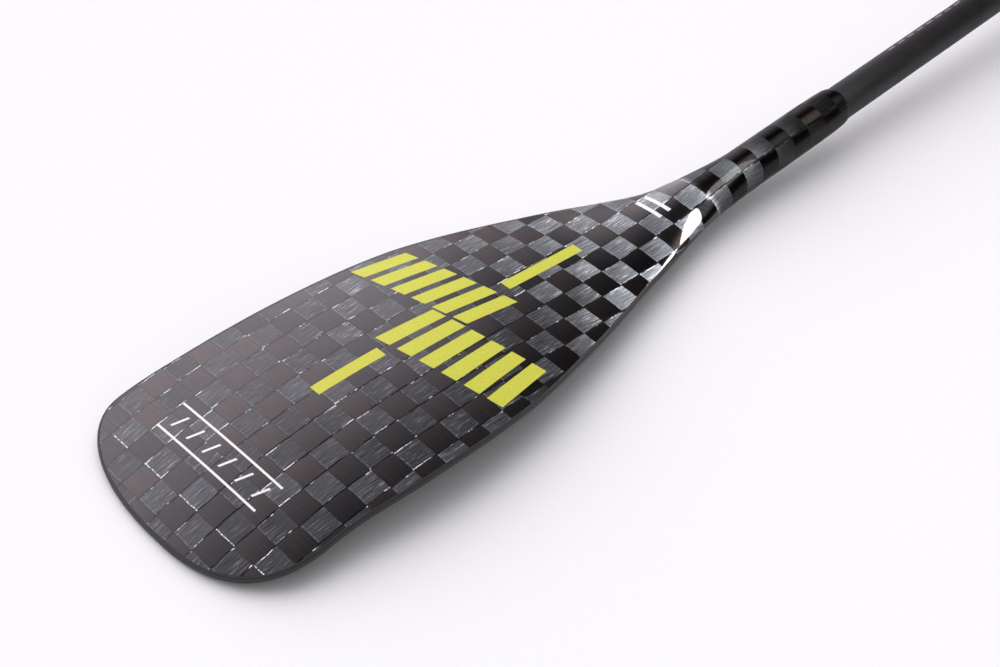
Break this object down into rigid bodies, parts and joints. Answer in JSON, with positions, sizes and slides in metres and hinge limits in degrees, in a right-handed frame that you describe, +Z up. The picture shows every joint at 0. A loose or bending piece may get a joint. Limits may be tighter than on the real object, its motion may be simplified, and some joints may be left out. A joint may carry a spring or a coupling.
{
  "type": "double-bladed kayak paddle",
  "caption": "Carbon kayak paddle with two spooned, thick-rimmed blades on a round two-piece shaft, adjustable in length and feather by a lever-locked ferrule.",
  "frame": {"origin": "Middle of the whole paddle's box. The shaft's axis is 24.25 mm to the -Y side of it and 10.37 mm above it.", "axes": "+X along the shaft from the right blade to the left one; +Z up, the way the right blade's back faces when the paddle lies down; +Y towards that blade's longer edge."},
  "size_m": [2.0796, 0.2164, 0.1936],
  "materials": {
    "blade_carbon": "spread-tow carbon plain weave, 20 mm squares, under a glossy clear coat",
    "shaft_carbon": "satin near-black carbon tube",
    "edge_rim": "matte dark grey moulded edge",
    "core_foam": "closed-cell structural foam",
    "bung_foam": "soft closed-cell foam",
    "seal_rubber": "smooth black rubber",
    "black_plastic": "finely textured glass-filled nylon",
    "bush_plastic": "natural white acetal",
    "lever_plastic": "yellow-green moulded nylon",
    "steel": "stainless steel",
    "brass": "turned brass"
  },
  "bodies": {
    "right_half": {"right_back_skin": "blade_carbon", "right_face_skin": "blade_carbon", "right_foam_core": "core_foam", "right_edge_rim": "edge_rim", "right_neck_sleeve": "blade_carbon", "right_shaft_bung": "bung_foam", "right_shaft_tube": "shaft_carbon", "ferrule_tube": "shaft_carbon", "ferrule_o_ring": "seal_rubber", "ferrule_bung": "bung_foam", "ferrule_end_cap": "black_plastic"},
    "ferrule_slider": {"ferrule_bush": "bush_plastic"},
    "left_half": {"left_back_skin": "blade_carbon", "left_face_skin": "blade_carbon", "left_foam_core": "core_foam", "left_edge_rim": "edge_rim", "left_neck_sleeve": "blade_carbon", "left_shaft_bung": "bung_foam", "left_shaft_tube": "shaft_carbon", "clamp_collar": "black_plastic", "clamp_bolt": "steel", "clamp_nut": "steel", "cam_washer": "brass", "lever_pin": "steel", "collar_screw": "steel"},
    "lever": {"clamp_lever": "lever_plastic"}
  },
  "joints": [
    {"name": "length_slide", "type": "slide", "parent": "right_half", "child": "ferrule_slider", "axis": [1, 0, 0], "range_m": [0, 0.05]},
    {"name": "feather_turn", "type": "hinge", "parent": "ferrule_slider", "child": "left_half", "pos_m": [0, -0.02425, 0.01037], "axis": [1, 0, 0], "range_deg": [0, 120]},
    {"name": "lever_open", "type": "hinge", "parent": "left_half", "child": "lever", "pos_m": [0.0145, 0.00135, -0.00118], "axis": [-1, 0, 0], "range_deg": [0, 120]}
  ]
}
